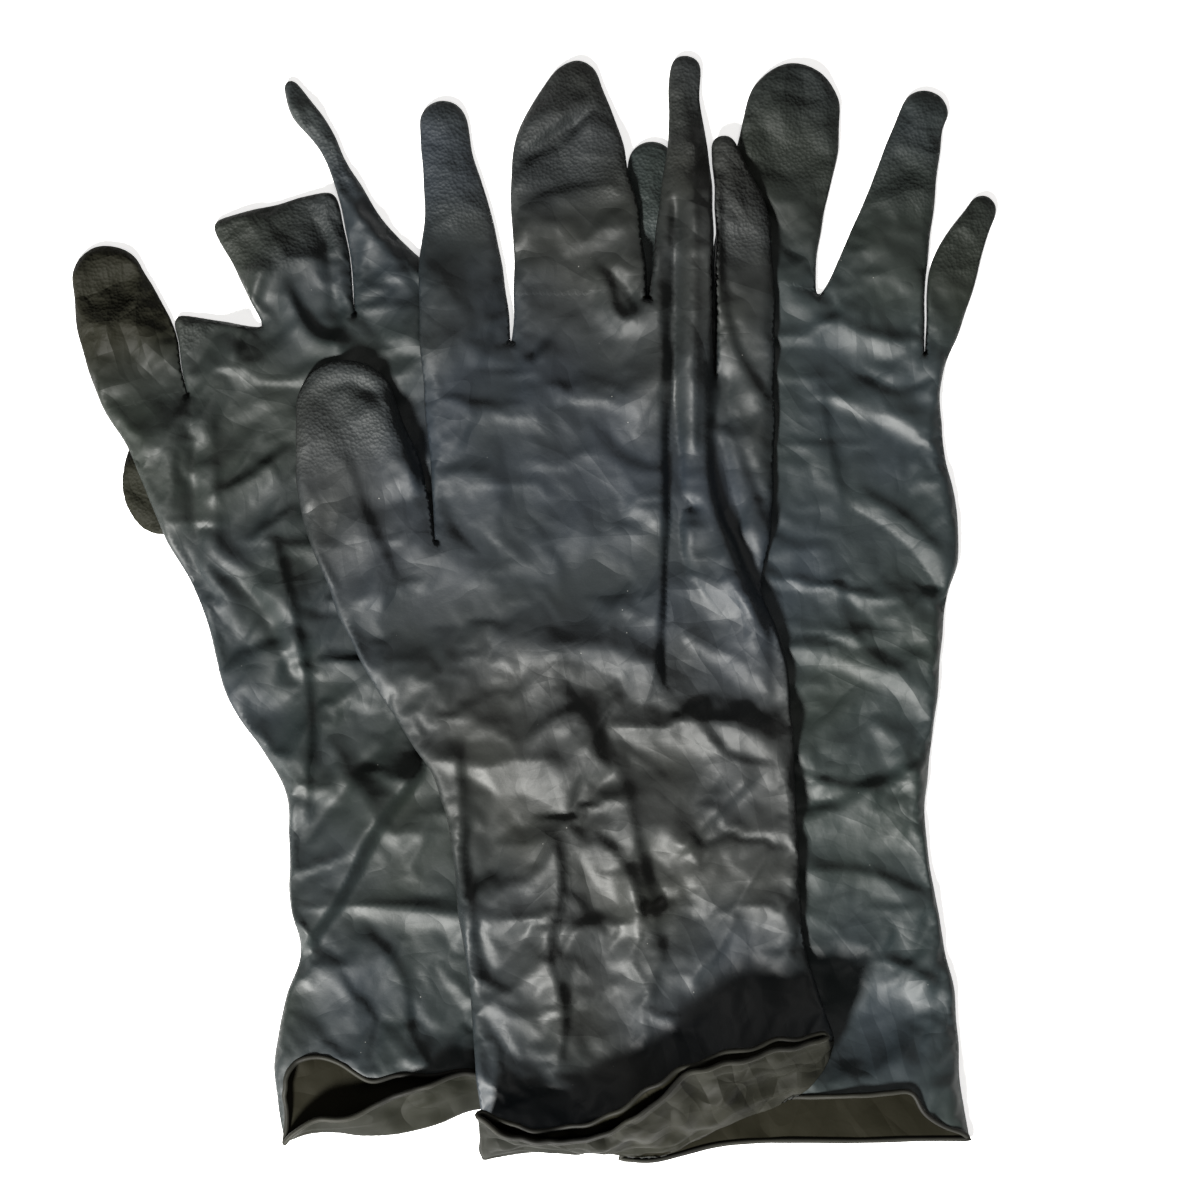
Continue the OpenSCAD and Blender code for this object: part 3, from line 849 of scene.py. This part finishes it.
def open_edges(faces):
    """Directed edges of the faces that no other face shares."""
    edges = np.stack([faces, np.roll(faces, -1, 1)], 2).reshape(-1, 2)
    top = edges.max() + 1
    back = edges[:, 1] * top + edges[:, 0]
    return edges[~np.isin(edges[:, 0] * top + edges[:, 1], back)]


def film_piece(name, co, faces, normals, looks):
    """A film of real thickness from some of a bag's faces, with closed edges and its looks."""
    used, outer = np.unique(faces, return_inverse=True)
    outer = outer.reshape(-1, 4)
    count = len(used)
    a, b = open_edges(outer).T
    walls = np.column_stack([b, a, count + a, count + b])
    shift = normals[used] * FILM / 2
    points = np.vstack([co[used] + shift, co[used] - shift])
    obj = make_mesh(name, points, np.vstack([outer, count + outer[:, ::-1], walls]))
    mesh = obj.data
    mesh.shade_smooth()
    mesh.normals_split_custom_set_from_vertices(np.vstack([normals[used], -normals[used]]).tolist())
    values = {"inside": np.repeat([0.0, 1.0], count)}
    for look, amount in looks.items():
        values[look] = np.tile(amount[used], 2)
    for look, value in values.items():
        attribute = mesh.attributes.new(look, "FLOAT", "POINT")
        attribute.data.foreach_set("value", value.astype(np.float32))
    return obj


def mouth_ring(faces):
    """Vertices along the bag's open edge, in order."""
    after = dict(open_edges(faces).tolist())
    start = next(iter(after))
    ring = [start]
    while after[ring[-1]] != start:
        ring.append(after[ring[-1]])
    return ring


def bead_piece(name, path):
    """Rolled edge: a tube along the closed path whose thickness varies a little."""
    count = len(path)
    ahead = np.roll(path, -1, 0) - np.roll(path, 1, 0)
    ahead /= np.linalg.norm(ahead, axis=1)[:, None]
    up = np.cross(np.cross(ahead, NEARLY_UP), ahead)
    up /= np.linalg.norm(up, axis=1)[:, None]
    out = np.cross(ahead, up)
    points = []
    faces = []
    for k in range(count):
        radius = BEAD_R * (1 + 0.14 * noise.noise(Vector(path[k] / 7)))
        here = k * BEAD_SIDES
        there = (k + 1) % count * BEAD_SIDES
        for j, angle in enumerate(np.linspace(0, 2 * math.pi, BEAD_SIDES, endpoint=False)):
            points.append(path[k] + radius * (math.cos(angle) * up[k] + math.sin(angle) * out[k]))
            after = (j + 1) % BEAD_SIDES
            faces.append((here + j, here + after, there + after, there + j))
    obj = make_mesh(name, points, faces)
    obj.data.shade_smooth()
    return obj


def join_to_bodies(obj, node, glove):
    """Makes a palm piece follow the body of its CAD node; every other piece is left fixed where it
    is.
    """
    body = frame["nodes"][node]["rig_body"]
    if node == glove + "_palm":
        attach(obj, body)
    elif node == glove + "_gauntlet":
        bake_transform(obj)
    elif node == glove + "_rim":
        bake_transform(obj)
    else:
        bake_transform(obj)


# ---------------------------------------------------------------- materials

CREASE_WAYS = 6  # directions of the film's finest creases
CREASE_SLOPE = 0.08
SPECK = (0.35, 0.35, 0.33, 1)
INSIDE = (0.0065, 0.006, 0.0028, 1)
# colour of the painted shade on film turned away from the light and on the lips
PAINTED_SHADE_TINT = (0.0085, 0.008, 0.0045, 1)
BEAD_DARK = (0.006, 0.006, 0.005, 1)
BEAD_LIGHT = (0.012, 0.012, 0.009, 1)


class Nodes:
    """Short way to build a node tree: a socket that is passed as an input is linked to it."""

    def __init__(self, name):
        self.material = bpy.data.materials.new(name)
        self.material.use_nodes = True
        self.tree = self.material.node_tree
        self.shader = self.tree.nodes["Principled BSDF"]
        self.where = self.add("ShaderNodeTexCoord", {}).outputs["Object"]

    def set(self, node, inputs):
        for key, value in inputs.items():
            if isinstance(value, bpy.types.NodeSocket):
                self.tree.links.new(value, node.inputs[key])
            else:
                node.inputs[key].default_value = value

    def add(self, kind, inputs, **settings):
        node = self.tree.nodes.new(kind)
        for key, value in settings.items():
            setattr(node, key, value)
        self.set(node, inputs)
        return node

    def noise(self, scale, detail=2.0, roughness=0.5):
        inputs = {"Vector": self.where, "Scale": scale, "Detail": detail, "Roughness": roughness}
        return self.add("ShaderNodeTexNoise", inputs).outputs["Fac"]

    def spread(self, value, low, high, to_low=0.0, to_high=1.0):
        inputs = {0: value, 1: low, 2: high, 3: to_low, 4: to_high}
        return self.add("ShaderNodeMapRange", inputs).outputs[0]

    def mix(self, share, a, b):
        node = self.add("ShaderNodeMix", {}, data_type="RGBA")
        self.set(node, {0: share, 6: a, 7: b})
        return node.outputs[2]

    def look(self, name):
        return self.add("ShaderNodeAttribute", {}, attribute_name=name).outputs["Fac"]

    def crumple(self):
        """Height in metres of fine creases in several directions, each present in places."""
        bend = self.add("ShaderNodeTexNoise", {"Vector": self.where, "Scale": 24.0, "Detail": 2.0})
        inputs = {0: bend.outputs["Color"], 1: (0.016, 0.016, 0.016), 2: self.where}
        bent = self.add("ShaderNodeVectorMath", inputs, operation="MULTIPLY_ADD").outputs[0]
        total = 0.0
        for k in range(CREASE_WAYS):
            angle = math.pi * (k + 0.3) / CREASE_WAYS
            way = {0: bent, 1: (math.cos(angle), math.sin(angle), 0.4)}
            along = self.add("ShaderNodeVectorMath", way, operation="DOT_PRODUCT")
            wave = self.math("PINGPONG", along.outputs["Value"], 0.0045 + 0.0017 * k)
            present = self.spread(self.noise(22.0 + 5.0 * k, 1.5), 0.52, 0.68)
            total = self.math("ADD", total, self.math("MULTIPLY", wave, present))
        cells = {"Vector": bent, "Scale": 48.0, "Detail": 2.0, "Roughness": 0.55}
        pits = self.add("ShaderNodeTexVoronoi", cells).outputs["Distance"]
        present = self.spread(self.noise(16.0, 1.0), 0.42, 0.62)
        pits = self.math("MULTIPLY", self.math("MULTIPLY", pits, present), 0.0005)
        return self.math("ADD", self.math("MULTIPLY", total, CREASE_SLOPE), pits)

    def math(self, operation, a, b):
        return self.add("ShaderNodeMath", {0: a, 1: b}, operation=operation).outputs[0]


def film_material(film, dark, blue, warm):
    """Satin dipped film: charcoal that turns bluish or olive, grained fingertips, a few specks, and
    painted shade on parts turned from the light.
    """
    m = Nodes(film)
    inside, grip, painted_shade = (m.look(name) for name in ("inside", "grip", "painted_shade"))
    clouds = m.spread(m.noise(22.0, 3.0), 0.38, 0.62)
    patches = m.spread(m.noise(9.0, 2.0), 0.42, 0.6)
    colour = m.mix(clouds, dark, blue)
    colour = m.mix(m.math("MULTIPLY", patches, 0.6), colour, warm)
    specks = m.add("ShaderNodeTexVoronoi", {"Vector": m.where, "Scale": 260.0})
    is_speck = m.spread(specks.outputs["Distance"], 0.055, 0.035)
    rare = m.spread(m.noise(60.0, 1.0), 0.6, 0.66)
    colour = m.mix(m.math("MULTIPLY", m.math("MULTIPLY", is_speck, rare), 0.35), colour, SPECK)
    # painted shade: darkens the film towards the tint above where the painted shade attribute is set
    colour = m.mix(m.math("MULTIPLY", painted_shade, 0.8), colour, PAINTED_SHADE_TINT)
    colour = m.mix(inside, colour, INSIDE)
    smear = m.spread(m.noise(45.0, 4.0, 0.6), 0.3, 0.7, 0.53, 0.66)
    gloss = m.math("ADD", smear, m.math("MULTIPLY", grip, 0.1))
    gloss = m.math("ADD", gloss, m.math("MULTIPLY", inside, 0.12))
    pebbles = m.add("ShaderNodeTexVoronoi", {"Vector": m.where, "Scale": 1100.0})
    pebble_height = m.math("MULTIPLY", pebbles.outputs["Distance"], grip)
    skin = m.noise(420.0, 3.0, 0.6)
    height = m.math("ADD", m.math("MULTIPLY", pebble_height, 0.9), m.math("MULTIPLY", skin, 0.3))
    crumple = m.math("MULTIPLY", m.crumple(), m.spread(painted_shade, 0.0, 1.0, 1.0, 2.5))
    bump = m.add("ShaderNodeBump", {"Strength": 1.0, "Distance": 1.0, "Height": crumple})
    bump = m.add("ShaderNodeBump", {"Strength": 0.5, "Distance": 0.0004, "Height": height,
                                    "Normal": bump.outputs["Normal"]})
    # the inside is matt, and painted shade also lowers the specular
    matt_and_painted_shade = m.math("MAXIMUM", inside, painted_shade)
    m.set(m.shader, {"Base Color": colour, "Roughness": gloss, "Normal": bump.outputs["Normal"],
                     "IOR": 1.5, "Specular IOR Level": m.spread(matt_and_painted_shade, 0.0, 1.0, 0.36, 0.08)})
    return m.material


def bead_material():
    """Rolled film: more neutral in colour and duller than the rest."""
    m = Nodes("bead")
    colour = m.mix(m.spread(m.noise(60.0), 0.35, 0.65), BEAD_DARK, BEAD_LIGHT)
    rings = m.noise(500.0, 2.0)
    bump = m.add("ShaderNodeBump", {"Strength": 0.25, "Distance": 0.0003, "Height": rings})
    m.set(m.shader, {"Base Color": colour, "Roughness": 0.6, "Normal": bump.outputs["Normal"],
                     "Specular IOR Level": 0.12})
    return m.material


def floor_material():
    m = Nodes("floor")
    shade = m.spread(m.noise(14.0), 0.3, 0.7)
    colour = m.mix(shade, (0.86, 0.86, 0.86, 1), (0.9, 0.9, 0.9, 1))
    m.set(m.shader, {"Base Color": colour, "Roughness": 0.9, "Specular IOR Level": 0.1,
                     "Emission Color": (1, 1, 1, 1), "Emission Strength": 0.62})
    return m.material


# Painted shade on the film of a finger that is turned away from the light: the palm has 0, a lip 1.
FINGER_PAINTED_SHADE = {
    "left_little_finger": 1.1, "left_ring_finger": 0.6, "left_middle_finger": 0.4,
    "top_middle_finger": 0.35, "top_ring_finger": 0.3, "top_little_finger": 0.3,
    "right_middle_finger": 0.6, "right_ring_finger": 0.4, "right_little_finger": 0.6,
}
FILM_COLOURS = {
    "left": ((0.004, 0.008, 0.0085, 1), (0.006, 0.010, 0.0155, 1), (0.009, 0.012, 0.007, 1)),
    "right": ((0.005, 0.010, 0.011, 1), (0.007, 0.0125, 0.0175, 1), (0.009, 0.014, 0.009, 1)),
    "top": ((0.006, 0.0095, 0.011, 1), (0.008, 0.0125, 0.0185, 1), (0.013, 0.013, 0.009, 1)),
}
FILMS = {glove: film_material(glove + " film", *shades) for glove, shades in FILM_COLOURS.items()}
BEAD_FILM = bead_material()


# ---------------------------------------------------------------- the pile

GRAIN_START = 0.4  # share of a finger's length at which its grain begins
GRAIN_FADE = 0.2
PAINTED_SHADE_FADE = 25.0  # length over which a finger's painted shade grows


def looks_of(co, faces, zone, is_lip):
    """How strongly each vertex shows the fingertips' grain, and how much painted shade its film has.
    """
    grip = np.zeros(len(co))
    painted_shade = np.zeros(len(co))
    # lips get full painted shade
    painted_shade[faces[is_lip].ravel()] = 1
    for name in CUTS:
        members = np.unique(faces[zone == name])
        if len(members):
            place, forward = hinge(name)
            s = (co[members, :2] - place) @ forward
            grip[members] = smooth((s / s.max() - GRAIN_START) / GRAIN_FADE)
            painted_shade[members] = FINGER_PAINTED_SHADE.get(name, 0) * smooth(s / PAINTED_SHADE_FADE)
    return {"grip": grip, "painted_shade": painted_shade}


def dress(obj, node, material):
    obj.data.materials.append(material)
    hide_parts(node)


def add_glove(glove, co, faces, is_lip):
    """The pieces of one glove."""
    zone = zones(glove, co, faces, is_lip)
    normals = mesh_normals(co, faces)
    looks = looks_of(co, faces, zone, is_lip)
    for name in dict.fromkeys(zone):
        obj = film_piece(name + "_film", co, faces[zone == name], normals, looks)
        dress(obj, name, FILMS[glove])
        join_to_bodies(obj, name, glove)
    bead = bead_piece(glove + "_bead_roll", co[mouth_ring(faces)])
    dress(bead, glove + "_bead", BEAD_FILM)
    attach(bead, glove + "_rim")


def add_ring_tip(co, faces):
    """End of the left glove's folded ring finger, which comes out from under the palm."""
    name = "left_ring_tip"
    # the whole tip gets painted shade as well as fingertip grain
    looks = {"grip": np.ones(len(co)), "painted_shade": np.ones(len(co))}
    obj = film_piece(name + "_film", co, faces, mesh_normals(co, faces), looks)
    dress(obj, name, FILMS["left"])
    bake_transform(obj)


tip_co, tip_faces, _ = build_bag(RING_TIP, None)
add_ring_tip(tip_co, tip_faces)
left = build_bag(GLOVES["left"], height_map([(tip_co, tip_faces)]))
right = build_bag(GLOVES["right"], None)
under_top = height_map([(tip_co, tip_faces), left[:2], right[:2]])
top = build_bag(GLOVES["top"], under_top)
for glove_name, (glove_co, glove_faces, glove_lip) in zip(GLOVES, (left, right, top)):
    add_glove(glove_name, glove_co, glove_faces, glove_lip)


# ---------------------------------------------------------------- floor, light and camera

FLOOR = 1500  # half side of the floor


def add_floor():
    co = [(-FLOOR, -FLOOR, 0), (FLOOR, -FLOOR, 0), (FLOOR, FLOOR, 0), (-FLOOR, FLOOR, 0)]
    floor = make_mesh("floor", co, [(0, 1, 2, 3)])
    floor.data.materials.append(floor_material())


def add_light(name, place, power, size, colour):
    """Square area light at a place in metres, turned to the middle of the pile."""
    light = bpy.data.lights.new(name, "AREA")
    light.energy, light.size, light.color = power, size, colour
    obj = bpy.data.objects.new(name, light)
    bpy.context.scene.collection.objects.link(obj)
    obj.location = place
    obj.rotation_euler = (-Vector(place)).to_track_quat("-Z", "Y").to_euler()


def add_sky(colour, strength, seen):
    """Even light from all round, which the camera sees at a strength of its own."""
    world = bpy.data.worlds.new("studio")
    bpy.context.scene.world = world
    world.use_nodes = True
    tree = world.node_tree
    background = tree.nodes["Background"]
    background.inputs["Color"].default_value = colour
    share = tree.nodes.new("ShaderNodeMath")
    share.operation = "MULTIPLY_ADD"
    share.inputs[1].default_value = seen - strength
    share.inputs[2].default_value = strength
    path = tree.nodes.new("ShaderNodeLightPath")
    tree.links.new(path.outputs["Is Camera Ray"], share.inputs[0])
    tree.links.new(share.outputs[0], background.inputs["Strength"])


def add_camera(centre, width, height):
    """Camera straight above the pile, with the fingers up in the picture."""
    sensor = 36.0
    camera = bpy.data.cameras.new("camera")
    camera.sensor_width = sensor
    camera.lens = sensor * height / width
    obj = bpy.data.objects.new("camera", camera)
    bpy.context.scene.collection.objects.link(obj)
    obj.location = (centre[0] * MM, centre[1] * MM, height * MM)
    bpy.context.scene.camera = obj


add_floor()
add_light("key", (-0.5, -1.0, 0.68), 78, 0.2, (1.0, 0.985, 0.95))
add_light("fill", (0.5, 0.5, 1.2), 4, 1.2, (1.0, 0.97, 0.93))
add_sky((1.0, 0.96, 0.9, 1), 0.14, seen=1.0)
bpy.context.scene.view_settings.view_transform = "Standard"
add_camera(centre=(18.5, 2.0), width=325, height=1200)
